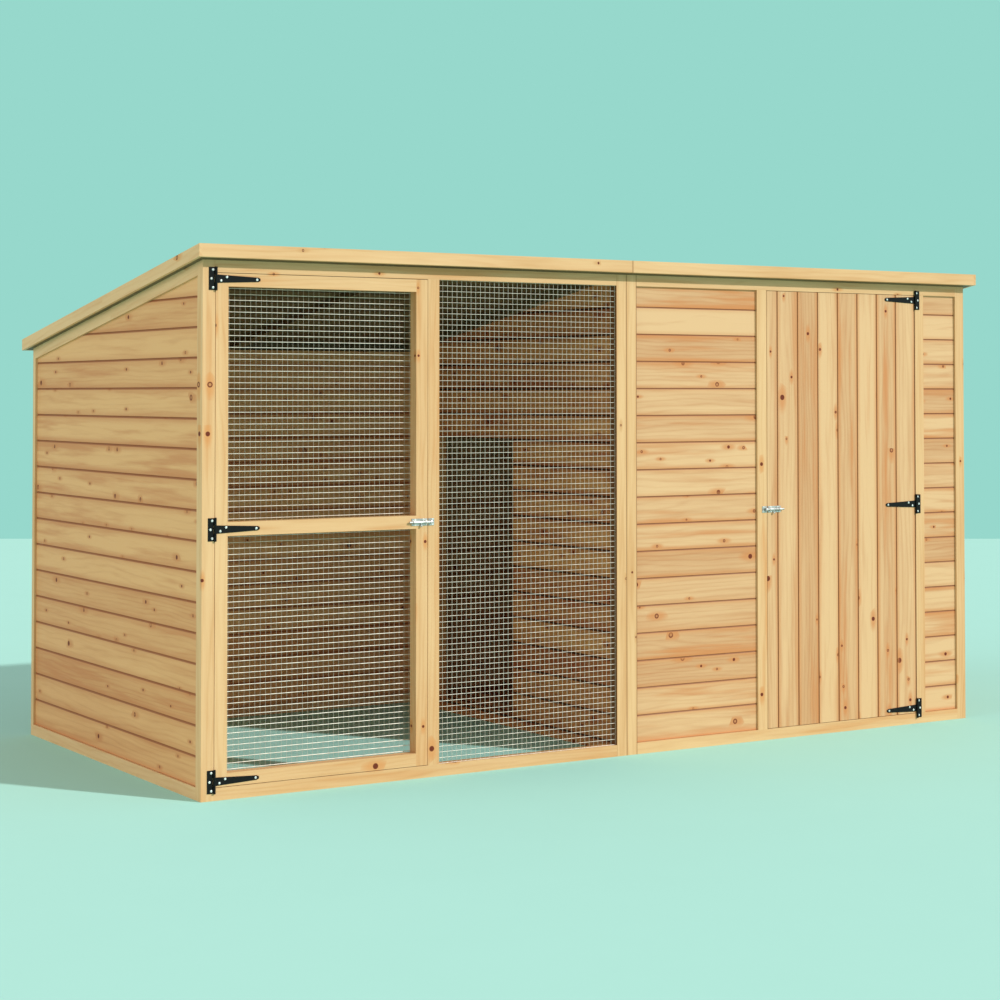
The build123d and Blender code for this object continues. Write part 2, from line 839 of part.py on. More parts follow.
with BuildPart() as bolt_keeps:
    keep(run_door_right, -1)
    keep(kennel_door_left, 1)
save(bolt_keeps, "bolt_keeps")


# Screws
def screws(points):
    """Round-head screws through a plate that lies on the front face."""
    seat = front - plate_thickness
    with BuildSketch(Plane.XZ.offset(-seat)) as shanks:
        with Locations(*points):
            Circle(screw_radius)
    extrude(shanks.sketch, amount=-(plate_thickness + screw_length))
    with BuildSketch(Plane.XZ.offset(-seat)) as heads:
        with Locations(*points):
            Circle(screw_head_radius)
    extrude(heads.sketch, amount=screw_head_height, taper=25)


with BuildPart() as frame_screws:
    screws(run_post_screws + kennel_jamb_screws + run_keep_screws + kennel_keep_screws)
save(frame_screws, "frame_screws")

with BuildPart() as run_door_screws:
    screws(run_strap_screws + run_bolt_screws)
save(run_door_screws, "run_door_screws")

with BuildPart() as kennel_door_screws:
    screws(kennel_strap_screws + kennel_bolt_screws)
save(kennel_door_screws, "kennel_door_screws")

# Roof
boards_left = roof_left + edge_board_thickness
boards_right = roof_right - edge_board_thickness
module_spans = ((boards_left, joint_low), (joint_high, boards_right))
eaves_front = roof_front + edge_board_thickness
eaves_back = roof_back - edge_board_thickness
with BuildPart() as roof_eaves_battens:
    for span_low, span_high in module_spans:
        for low in (eaves_front, eaves_back - roof_batten_width):
            roof_layer(span_low, span_high, low, low + roof_batten_width, 0, roof_batten_depth)
save(roof_eaves_battens, "roof_eaves_battens")

rafter_low = eaves_front + roof_batten_width
rafter_high = eaves_back - roof_batten_width
with BuildPart() as roof_rafters:
    for span_low, span_high in module_spans:
        middle = (span_low + span_high - roof_batten_width) / 2
        for start in (span_low, middle, span_high - roof_batten_width):
            roof_layer(start, start + roof_batten_width, rafter_low, rafter_high, 0, roof_batten_depth)
save(roof_rafters, "roof_rafters")


def roof_boards(x_low, x_high):
    """Boards of one roof half, laid from the front to the back."""
    count = math.ceil((eaves_back - eaves_front) / roof_board_cover)
    for i in range(count):
        y_low = eaves_front + i * roof_board_cover
        y_high = min(y_low + roof_board_cover - board_gap, eaves_back)
        roof_layer(x_low, x_high, y_low, y_high, roof_batten_depth, roof_board_thickness)


with BuildPart() as run_roof_boards:
    roof_boards(*module_spans[0])
save(run_roof_boards, "run_roof_boards")

with BuildPart() as kennel_roof_boards:
    roof_boards(*module_spans[1])
save(kennel_roof_boards, "kennel_roof_boards")

with BuildPart() as roof_felt:
    felt_lift = roof_batten_depth + roof_board_thickness
    roof_layer(boards_left, boards_right, eaves_front, eaves_back, felt_lift, felt_thickness)
save(roof_felt, "roof_felt")

with BuildPart() as roof_fascias:
    for y_low, y_high in ((roof_front, eaves_front), (eaves_back, roof_back)):
        for span_low, span_high in module_spans:
            roof_layer(span_low, span_high, y_low, y_high, 0, roof_depth)
save(roof_fascias, "roof_fascias")

with BuildPart() as roof_barge_boards:
    roof_layer(roof_left, boards_left, roof_front, roof_back, 0, roof_depth)
    roof_layer(boards_right, roof_right, roof_front, roof_back, 0, roof_depth)
save(roof_barge_boards, "roof_barge_boards")
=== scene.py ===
"""Looks of a timber dog kennel with its run: boarded walls, welded mesh, hinges, bolts and a felt roof."""

import logging
import math
from dataclasses import dataclass, replace
from enum import Enum

import bmesh
import bpy
from mathutils import Matrix, Vector


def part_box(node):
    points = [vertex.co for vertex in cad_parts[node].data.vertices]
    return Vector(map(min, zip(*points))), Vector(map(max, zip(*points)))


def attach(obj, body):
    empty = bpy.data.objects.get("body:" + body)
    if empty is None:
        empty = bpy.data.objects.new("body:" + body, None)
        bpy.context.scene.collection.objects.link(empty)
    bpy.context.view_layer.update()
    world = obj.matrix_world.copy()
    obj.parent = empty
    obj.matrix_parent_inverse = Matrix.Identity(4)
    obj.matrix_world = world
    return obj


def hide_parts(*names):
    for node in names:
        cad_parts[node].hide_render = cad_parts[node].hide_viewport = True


log = logging.getLogger("kennel")
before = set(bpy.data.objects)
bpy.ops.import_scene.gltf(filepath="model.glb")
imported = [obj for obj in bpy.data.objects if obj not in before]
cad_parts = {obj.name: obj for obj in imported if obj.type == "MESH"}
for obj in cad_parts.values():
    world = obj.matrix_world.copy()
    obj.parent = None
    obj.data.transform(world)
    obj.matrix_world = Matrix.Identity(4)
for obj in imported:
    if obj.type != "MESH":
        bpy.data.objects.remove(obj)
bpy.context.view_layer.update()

Colour = tuple[float, float, float]
MILLIMETRE = 0.001
MEAN = 0.5  # of a noise or of a random value


class Axis(Enum):
    """A direction of the model, with its place in a vector."""

    X = 0
    Y = 1
    Z = 2


def tone(red: int, green: int, blue: int) -> Colour:
    """Turns a colour as seen on a screen, 0 to 255, into the linear values that a shader takes.

    Args:
        red: Red on the screen.
        green: Green on the screen.
        blue: Blue on the screen.

    Returns:
        The three linear values.
    """
    white, foot_end, foot_slope, offset, power = 255, 0.04045, 12.92, 0.055, 2.4

    def linear(value: int) -> float:
        """Takes the screen's curve off one value."""
        part = value / white
        return part / foot_slope if part <= foot_end else ((part + offset) / (1 + offset)) ** power

    return linear(red), linear(green), linear(blue)


class Signal:
    """A shader socket that can be used in arithmetic."""

    def __init__(self, graph: "Graph", socket: bpy.types.NodeSocket) -> None:
        """Keeps the socket and the graph that it belongs to."""
        self.graph = graph
        self.socket = socket

    def math(
        self, operation: str, *others: "Signal | float", first: "Signal | float | None" = None
    ) -> "Signal":
        """Adds one Math node.

        Args:
            operation: The node's operation.
            others: The values after the first.
            first: The first value, where it isn't this signal.

        Returns:
            The node's result.
        """
        inputs = dict(enumerate([self if first is None else first, *others]))
        node = self.graph.node("ShaderNodeMath", {"operation": operation}, inputs)
        return Signal(self.graph, node.outputs[0])

    def __add__(self, other: "Signal | float") -> "Signal":
        """Sum of two signals."""
        return self.math("ADD", other)

    __radd__ = __add__

    def __sub__(self, other: "Signal | float") -> "Signal":
        """Difference of two signals."""
        return self.math("SUBTRACT", other)

    def __rsub__(self, other: float) -> "Signal":
        """Number minus this signal."""
        return self.math("SUBTRACT", self, first=other)

    def __mul__(self, other: "Signal | float") -> "Signal":
        """Product of two signals."""
        return self.math("MULTIPLY", other)

    __rmul__ = __mul__

    def __truediv__(self, other: "Signal | float") -> "Signal":
        """Quotient of two signals."""
        return self.math("DIVIDE", other)

    def __pow__(self, other: "Signal | float") -> "Signal":
        """Power of two signals."""
        return self.math("POWER", other)

    def __gt__(self, other: "Signal | float") -> "Signal":
        """One where this signal is the larger."""
        return self.math("GREATER_THAN", other)

    def maximum(self, other: "Signal | float") -> "Signal":
        """Larger of two signals."""
        return self.math("MAXIMUM", other)

    def floor(self) -> "Signal":
        """Whole part of the signal."""
        return self.math("FLOOR")

    def fraction(self) -> "Signal":
        """What is left of the signal past its whole part."""
        return self.math("FRACT")

    def sine(self) -> "Signal":
        """Sine of the signal in radians."""
        return self.math("SINE")

    def step(self, low: "Signal | float", high: "Signal | float") -> "Signal":
        """Smooth step of the signal.

        Args:
            low: Where the result is 0.
            high: Where the result is 1; it may be below low.

        Returns:
            A signal from 0 to 1.
        """
        settings = {"interpolation_type": "SMOOTHSTEP"}
        inputs = {"Value": self, "From Min": low, "From Max": high}
        node = self.graph.node("ShaderNodeMapRange", settings, inputs)
        return Signal(self.graph, node.outputs[0])


class Graph:
    """Nodes of a material or of the world."""

    def __init__(self, owner: bpy.types.Material | bpy.types.World) -> None:
        """Empties the owner's tree of nodes."""
        owner.use_nodes = True
        self.tree = owner.node_tree
        self.tree.nodes.clear()

    def node(
        self, kind: str, settings: dict[str, object], inputs: dict[str | int, object]
    ) -> bpy.types.Node:
        """Adds a node.

        Args:
            kind: The node's type.
            settings: Its settings, set before its sockets.
            inputs: Values or links of its sockets, by name or place.

        Returns:
            The node.
        """
        node = self.tree.nodes.new(kind)
        for key, value in settings.items():
            setattr(node, key, value)
        for key, value in inputs.items():
            self.feed(node.inputs[key], value)
        return node

    def feed(self, socket: bpy.types.NodeSocket, value: object) -> None:
        """Gives a socket its value or its link.

        Args:
            socket: The socket.
            value: A signal or a socket to link, or a plain value; a colour gets its alpha here.
        """
        if isinstance(value, Signal):
            value = value.socket
        if isinstance(value, bpy.types.NodeSocket):
            self.tree.links.new(value, socket)
        elif isinstance(value, tuple) and socket.type == "RGBA":
            socket.default_value = (*value, 1.0)
        else:
            socket.default_value = value


class Shader(Graph):
    """One material under construction."""

    def __init__(self, name: str) -> None:
        """Starts a material with an output and one surface shader."""
        self.material = bpy.data.materials.new(name)
        super().__init__(self.material)
        self.surface = self.node("ShaderNodeBsdfPrincipled", {}, {})
        self.node("ShaderNodeOutputMaterial", {}, {"Surface": self.surface.outputs[0]})
        self.place = self.node("ShaderNodeTexCoord", {}, {}).outputs["Object"]

    def separate(self, vector: bpy.types.NodeSocket) -> tuple[Signal, Signal, Signal]:
        """Splits a vector into its three signals."""
        node = self.node("ShaderNodeSeparateXYZ", {}, {0: vector})
        x, y, z = (Signal(self, socket) for socket in node.outputs)
        return x, y, z

    def combine(self, x: Signal | float, y: Signal | float, z: Signal | float) -> bpy.types.NodeSocket:
        """Joins three signals into a vector."""
        return self.node("ShaderNodeCombineXYZ", {}, {0: x, 1: y, 2: z}).outputs[0]

    def noise(self, vector: bpy.types.NodeSocket, scale: float, detail: float = 2.0) -> Signal:
        """Soft noise.

        Args:
            vector: Where it is read.
            scale: Its scale.
            detail: How many octaves it has.

        Returns:
            A signal around 0.5.
        """
        inputs = {"Vector": vector, "Scale": scale, "Detail": detail, "Roughness": 0.55}
        return Signal(self, self.node("ShaderNodeTexNoise", {}, inputs).outputs[0])

    def layer(self, x: Signal, y: Signal, z: Signal) -> Signal:
        """Soft noise read at a place whose axes are already scaled."""
        return self.noise(self.combine(x, y, z), 1.0, 3.0)

    def mix(self, factor: Signal | float, first: object, second: object) -> bpy.types.NodeSocket:
        """Mixes two colours.

        Args:
            factor: Share of the second colour.
            first: A colour or a link to one.
            second: A colour or a link to one.

        Returns:
            The mixed colour.
        """
        # A colour mix has its factor, its two colours and its result at these places
        factor_place, first_place, second_place, result_place = 0, 6, 7, 2
        inputs = {factor_place: factor, first_place: first, second_place: second}
        settings = {"data_type": "RGBA", "clamp_factor": True}
        return self.node("ShaderNodeMix", settings, inputs).outputs[result_place]

    def bump(self, height: Signal, depth: float, strength: float) -> None:
        """Feeds the surface's normal from a height.

        Args:
            height: The height, from 0 to 1.
            depth: Its full depth in metres.
            strength: How strongly it shows.
        """
        inputs = {"Height": height, "Distance": depth, "Strength": strength}
        normal = self.node("ShaderNodeBump", {}, inputs).outputs[0]
        self.feed(self.surface.inputs["Normal"], normal)

    def finish(self, colour: object, roughness: object, **values: float) -> bpy.types.Material:
        """Sets the surface and hands the material over.

        Args:
            colour: Base colour, or a link to one.
            roughness: Roughness, or a signal.
            values: Other sockets of the surface, with spaces written as underscores.

        Returns:
            The finished material.
        """
        for key, value in {"Base_Color": colour, "Roughness": roughness, **values}.items():
            self.feed(self.surface.inputs[key.replace("_", " ")], value)
        return self.material


@dataclass(frozen=True)
class Courses:
    """Boards laid side by side.

    Attributes:
        axis: The axis across them.
        start: Where the first starts along that axis.
        pitch: How far apart they are.
        module: How far they run along X before other boards follow.
    """

    axis: Axis
    start: float
    pitch: float
    module: float = 10.0


@dataclass(frozen=True)
class Knots:
    """Round knots, at most one in each square place of the wood.

    Attributes:
        spacing: Width of a place.
        scatter: How far a knot strays inside its place, from 0 to 1.
        least: Radius of the smallest knot, in places.
        spread: How much larger the largest one is, in places.
        rarity: Power that makes large knots rare.
        heart: Where the heart begins and where it is full, in radii.
        pale: Where the pale middle of a ringed knot begins and where it is full, in radii.
        ringed: Random value above which a knot is ringed.
        paleness: How pale that middle is.
        stretch: Share of the distance along the grain that counts, squared, for the halo.
        halo: Where the halo begins and where it is full, in radii.
    """

    spacing: float = 85.0 * MILLIMETRE
    scatter: float = 0.9
    least: float = 0.055
    spread: float = 0.08
    rarity: float = 3.0
    heart: tuple[float, float] = (1.1, 0.85)
    pale: tuple[float, float] = (0.75, 0.35)
    ringed: float = 0.6
    paleness: float = 0.75
    stretch: float = 0.12
    halo: tuple[float, float] = (2.6, 0.7)

    def masks(
        self, shader: Shader, along: Signal, face: Signal, held: float
    ) -> tuple[Signal, Signal, Signal]:
        """Scatters the knots.

        Args:
            shader: The material.
            along: Position along the grain.
            face: Position across the face.
            held: Share of the places that hold a knot.

        Returns:
            The hearts, the halos along the grain, and how far aside of its knot a point lies.
        """
        along_place, face_place = along / self.spacing, face / self.spacing
        vector = shader.combine(along_place, face_place, 0.0)
        inputs = {"Vector": vector, "Scale": 1.0, "Randomness": self.scatter}
        spots = shader.node("ShaderNodeTexVoronoi", {"voronoi_dimensions": "2D"}, inputs)
        pick, width, pale = shader.separate(spots.outputs["Color"])
        middle_along, middle_face, _ = shader.separate(spots.outputs["Position"])
        ahead, aside = along_place - middle_along, face_place - middle_face
        present = pick > (1.0 - held)
        radius = width ** self.rarity * self.spread + self.least
        distance = (ahead * ahead + aside * aside) ** 0.5 / radius
        dark = 1.0 - distance.step(*self.pale) * (pale > self.ringed) * self.paleness
        heart = distance.step(*self.heart) * dark
        reach = (ahead * ahead * self.stretch + aside * aside) ** 0.5 / radius
        return heart * present, reach.step(*self.halo) * present, aside


@dataclass(frozen=True)
class Figure:
    """Figure of the softwood. Scales are per metre, first along the grain and then across it.

    Attributes:
        board_shift: How far the grain slides from board to board, in metres.
        knot_shift: How far the knots slide across from board to board, in metres.
        depth_share: How much depth counts as width, so that an edge doesn't repeat the face.
        swirl: How far the rings bend round a knot.
        rings: Density of the rings on the widest-ringed board, in radians per metre.
        ring_spread: How much denser they are on the finest board.
        ring_wander: How far the rings wander, in radians.
        late_wood: Power that narrows the dark part of a ring.
        wander: Scale of that wander.
        wander_seed: How far apart it is read from board to board.
        fibre: Scale of the fibres.
        tint: Scale of the tinted patches.
        tint_seed: How far apart they are read from board to board.
        shades: How much rings, fibres and patches darken the wood.
        base_shade: How dark it is without them.
        streak_wander: How much the wander moves a streak's edge.
        streak_edge: Where a streak begins and where it is full, in the patches' noise.
        streak_strength: Strength of the faintest streaks, and how much stronger the boldest are.
        halo_strength: Strength of the colour round a knot.
        relief: How far fibres and rings stand out, and knots lie low.
    """

    board_shift: float = 9.0
    knot_shift: float = 0.6
    depth_share: float = 0.9
    swirl: float = 0.03
    rings: float = 150.0
    ring_spread: float = 240.0
    ring_wander: float = 44.0
    late_wood: float = 3.0
    wander: tuple[float, float] = (0.8, 6.0)
    wander_seed: float = 20.0
    fibre: tuple[float, float] = (9.0, 330.0)
    tint: tuple[float, float] = (1.5, 21.0)
    tint_seed: float = 30.0
    shades: tuple[float, float, float] = (0.5, 0.5, 1.2)
    base_shade: float = 0.25
    streak_wander: float = 0.4
    streak_edge: tuple[float, float] = (0.5, 0.72)
    streak_strength: tuple[float, float] = (0.1, 0.7)
    halo_strength: float = 0.75
    relief: tuple[float, float, float] = (0.5, 0.3, 0.3)


@dataclass(frozen=True)
class WoodFinish:
    """Planed softwood under a clear coat.

    Attributes:
        name: The material's first name.
        light: Colour of the early wood.
        dark: Colour of the late wood.
        streak: Colour of the resinous streaks, also of the knots' halos and of the stain and painted shade
            beside the joints.
        knot: Colour of a knot's heart.
        joint: Colour in the joints between boards.
        knots: Share of the places for a knot that hold one.
        contrast: How much the boards differ from each other.
        gloss: Roughness of the planed face.
        joint_width: Width of the dark line between boards.
        relief_depth: Full depth of the grain's relief.
        knotting: Shape of the knots.
        figure: Figure of the grain.
    """

    name: str
    light: Colour = tone(226, 184, 136)
    dark: Colour = tone(198, 143, 97)
    streak: Colour = tone(208, 134, 78)
    knot: Colour = tone(112, 42, 16)
    joint: Colour = tone(136, 76, 34)
    knots: float = 0.13
    contrast: float = 0.8
    gloss: float = 0.55
    joint_width: float = 5.0 * MILLIMETRE
    relief_depth: float = 1.2 * MILLIMETRE
    knotting: Knots = Knots()
    figure: Figure = Figure()

    def material(
        self, grain: Axis, courses: Courses | None = None, fall: float = 0.0
    ) -> bpy.types.Material:
        """Builds the wood with its grain along one axis.

        Args:
            grain: The direction that the grain runs in.
            courses: How the wood is divided into boards, if it is.
            fall: Drop of the grain per metre along Y.

        Returns:
            The material.
        """
        shader = Shader(f"{self.name}_{grain.name.lower()}")
        figure = self.figure
        x, y, z = shader.separate(shader.place)
        place = (x, y, z + y * fall)
        across, through = self.faces(grain, courses)
        first, second, third, share = self.boards(shader, place, grain, courses)
        along = place[grain.value] + first * figure.board_shift
        deep = place[through.value]
        face = place[across.value] + deep * figure.depth_share
        knot_face = face + third * figure.knot_shift
        heart, halo, aside = self.knotting.masks(shader, along, knot_face, self.knots)
        swirl = face + halo * aside * figure.swirl

        wander_along, wander_across = figure.wander
        wander = shader.layer(along * wander_along, face * wander_across, second * figure.wander_seed)
        bend = (second * figure.ring_spread + figure.rings) * swirl + wander * figure.ring_wander
        rings = (bend.sine() * 0.5 + 0.5) ** figure.late_wood
        fibre = shader.layer(along * figure.fibre[0], swirl * figure.fibre[1], deep * figure.fibre[1])
        tint = shader.layer(along * figure.tint[0], swirl * figure.tint[1], first * figure.tint_seed)

        ring_shade, fibre_shade, tint_shade = figure.shades
        shade = rings * (tint * ring_shade) + (fibre - MEAN) * fibre_shade + (second - MEAN) * self.contrast
        shade = shade + (tint - MEAN) * tint_shade + figure.base_shade
        colour = shader.mix(shade, self.light, self.dark)
        faintest, bolder = figure.streak_strength
        streaks = (tint + (wander - MEAN) * figure.streak_wander).step(*figure.streak_edge)
        colour = shader.mix(streaks * (third * bolder + faintest), colour, self.streak)
        colour = shader.mix(halo * figure.halo_strength, colour, self.streak)
        colour = shader.mix(heart, colour, self.knot)
        fibre_relief, ring_relief, knot_relief = figure.relief
        height = fibre * fibre_relief + rings * ring_relief - heart * knot_relief
        if share is not None and courses is not None:
            stain_and_shade, edge = self.joints(share, self.joint_width / courses.pitch)
            # Tints the strips beside the joints: partly resin stain, partly painted shade under the lapped
            # board's edge.
            colour = shader.mix(stain_and_shade * (wander + third * 0.5) * 0.8, colour, self.streak)
            colour = shader.mix(edge * 0.85, colour, self.joint)
            height = height - edge
        shader.bump(height, self.relief_depth, 0.35)
        roughness = self.gloss + (fibre - MEAN) * 0.3 + halo * 0.08
        return shader.finish(
            colour, roughness, Coat_Weight=0.04, Coat_Roughness=0.35, Specular_IOR_Level=0.25
        )

    def faces(self, grain: Axis, courses: Courses | None) -> tuple[Axis, Axis]:
        """Finds the axes that the figure is read along.

        Args:
            grain: The direction that the grain runs in.
            courses: The boards, or None for single timbers.

        Returns:
            The axis across the boards' faces and the one through them.
        """
        across = Axis.X if grain is Axis.Z else Axis.Z
        through = next(axis for axis in Axis if axis not in (grain, across))
        if courses is not None and courses.axis is not across:
            return through, across
        return across, through

    def joints(self, share: Signal, border: float) -> tuple[Signal, Signal]:
        """Finds the strips beside the joints, tinted as stain and as painted shade under the lapped edge,
        and the dark joints themselves.

        Args:
            share: Position across the board, from 0 to 1.
            border: Width of a joint over that of a board.

        Returns:
            The stain with painted shade beside the joints, and the joint, from 0 to 1.
        """
        # Strips that widen towards each joint, for stain and for painted shade under the lap.
        stain_and_shade = share.step(1.0 - border * 5.0, 1.0) + share.step(border * 4.0, 0.0)
        edge_above = share.step(1.0 - border * 1.3, 1.0 - border * 0.7)
        edge_below = share.step(border * 0.35, border * 0.1)
        return stain_and_shade, edge_above + edge_below

    def boards(
        self, shader: Shader, place: tuple[Signal, Signal, Signal], grain: Axis, courses: Courses | None
    ) -> tuple[Signal, Signal, Signal, Signal | None]:
        """Finds what differs from board to board.

        Args:
            shader: The material.
            place: Position along the three axes.
            grain: The direction that the grain runs in.
            courses: The boards, or None for single timbers.

        Returns:
            Three random values of the board, and the position across it from 0 to 1.
        """
        share = None
        if courses is None:
            # Cells along X, Y and Z that hold one timber each
            cells = {Axis.X: (2.0, 0.5, 0.35), Axis.Y: (0.35, 10.0, 10.0), Axis.Z: (0.35, 0.5, 10.0)}
            cell = shader.combine(*((part / size).floor() for part, size in zip(place, cells[grain])))
        else:
            count = (place[courses.axis.value] - courses.start) / courses.pitch
            cell = shader.combine(count.floor(), (place[0] / courses.module).floor(), 3.0)
            share = count.fraction()
        noise = shader.node("ShaderNodeTexWhiteNoise", {"noise_dimensions": "3D"}, {"Vector": cell})
        first, second, third = shader.separate(noise.outputs["Color"])
        return first, second, third, share


@dataclass(frozen=True)
class MetalFinish:
    """Bare or coated metal.

    Attributes:
        name: The material's name.
        colour: Its main colour.
        shade: Colour of its dull patches.
        metallic: 1 for bare metal and 0 for a coat.
        roughness: Its mean roughness.
        grain: Scale of its fine texture, per metre.
        shine: Strength of the reflection off a coat.
        patch_scale: Scale of the dull patches over that of the texture.
        patch_edge: Where a patch begins and where it is full, in that noise.
        grain_depth: Depth of the fine texture.
    """

    name: str
    colour: Colour
    shade: Colour
    metallic: float
    roughness: float
    grain: float
    shine: float = 0.5
    patch_scale: float = 0.06
    patch_edge: tuple[float, float] = (0.42, 0.62)
    grain_depth: float = 0.3 * MILLIMETRE

    def material(self) -> bpy.types.Material:
        """Builds the metal."""
        shader = Shader(self.name)
        fine = shader.noise(shader.place, self.grain, 3.0)
        broad = shader.noise(shader.place, self.grain * self.patch_scale)
        patches = broad.step(*self.patch_edge) * 0.6 + (fine - MEAN) * 0.5
        colour = shader.mix(patches, self.colour, self.shade)
        shader.bump(fine, self.grain_depth, 0.25)
        roughness = self.roughness + (broad - MEAN) * 0.25 + (fine - MEAN) * 0.15
        return shader.finish(colour, roughness, Metallic=self.metallic, Specular_IOR_Level=self.shine)


@dataclass(frozen=True)
class FeltFinish:
    """Mineral roofing felt with stone chips pressed into bitumen.

    Attributes:
        name: The material's name.
        bitumen: Colour between the chips.
        chips: Colour of the chips.
        chip_scale: Number of chips along a metre.
        chip_edge: Where a chip begins and where it is full, in chips from its middle.
        chip_height: How far a chip stands out.
        patch_scale: Scale of the paler and darker patches, per metre.
    """

    name: str = "mineral_felt"
    bitumen: Colour = tone(38, 42, 40)
    chips: Colour = tone(98, 112, 98)
    chip_scale: float = 420.0
    chip_edge: tuple[float, float] = (0.62, 0.3)
    chip_height: float = 1.2 * MILLIMETRE
    patch_scale: float = 2.4

    def material(self) -> bpy.types.Material:
        """Builds the felt."""
        shader = Shader(self.name)
        inputs = {"Vector": shader.place, "Scale": self.chip_scale, "Randomness": 1.0}
        cells = shader.node("ShaderNodeTexVoronoi", {}, inputs)
        pick, _, _ = shader.separate(cells.outputs["Color"])
        chip = Signal(shader, cells.outputs["Distance"]).step(*self.chip_edge)
        patches = shader.noise(shader.place, self.patch_scale, 4.0)
        share = chip * (0.35 + pick * 0.65) + (patches - MEAN) * 0.7
        colour = shader.mix(share, self.bitumen, self.chips)
        shader.bump(chip, self.chip_height, 0.6)
        return shader.finish(colour, 0.86 - chip * 0.1)


def settle(
    mesh: bmesh.types.BMesh, name: str, body: str, material: bpy.types.Material
) -> bpy.types.Object:
    """Turns a mesh in the making into a piece that rides on a body.

    Args:
        mesh: The mesh, which is freed.
        name: The piece's name.
        body: The body that it rides on.
        material: Its material.

    Returns:
        The piece.
    """
    bmesh.ops.recalc_face_normals(mesh, faces=mesh.faces)
    data = bpy.data.meshes.new(name)
    mesh.to_mesh(data)
    mesh.free()
    data.materials.append(material)
    piece = bpy.data.objects.new(name, data)
    bpy.context.scene.collection.objects.link(piece)
    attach(piece, body)
    log.info("made %s: %d faces on %s", name, len(data.polygons), body)
    return piece


def repeat(mesh: bmesh.types.BMesh, source: list[bmesh.types.BMVert], shifts: list[Vector]) -> None:
    """Copies part of a mesh to other places.

    Args:
        mesh: The mesh.
        source: Vertices of the part, which stays where it is.
        shifts: How far each copy lies from it.
    """
    faces = list({face for vertex in source for face in vertex.link_faces})
    for shift in shifts:
        copied = bmesh.ops.duplicate(mesh, geom=faces)["geom"]
        vertices = [item for item in copied if isinstance(item, bmesh.types.BMVert)]
        bmesh.ops.translate(mesh, verts=vertices, vec=shift)


def solids_of(node: str) -> list[tuple[Vector, Vector]]:
    """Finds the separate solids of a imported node.

    Args:
        node: The node's name.

    Returns:
        The lowest and highest corner of each solid.
    """
    mesh = bmesh.new()
    mesh.from_mesh(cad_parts[node].data)
    bmesh.ops.remove_doubles(mesh, verts=mesh.verts, dist=1e-5)
    boxes = []
    waiting = set(mesh.verts)
    while waiting:
        reached = [waiting.pop()]
        corners = []
        while reached:
            vertex = reached.pop()
            corners.append(vertex.co.copy())
            for edge in vertex.link_edges:
                other = edge.other_vert(vertex)
                if other in waiting:
                    waiting.discard(other)
                    reached.append(other)
        low = Vector(min(corner[i] for corner in corners) for i in range(3))
        high = Vector(max(corner[i] for corner in corners) for i in range(3))
        boxes.append((low, high))
    mesh.free()
    return sorted(boxes, key=lambda pair: tuple(round(value, 4) for value in pair[0]))


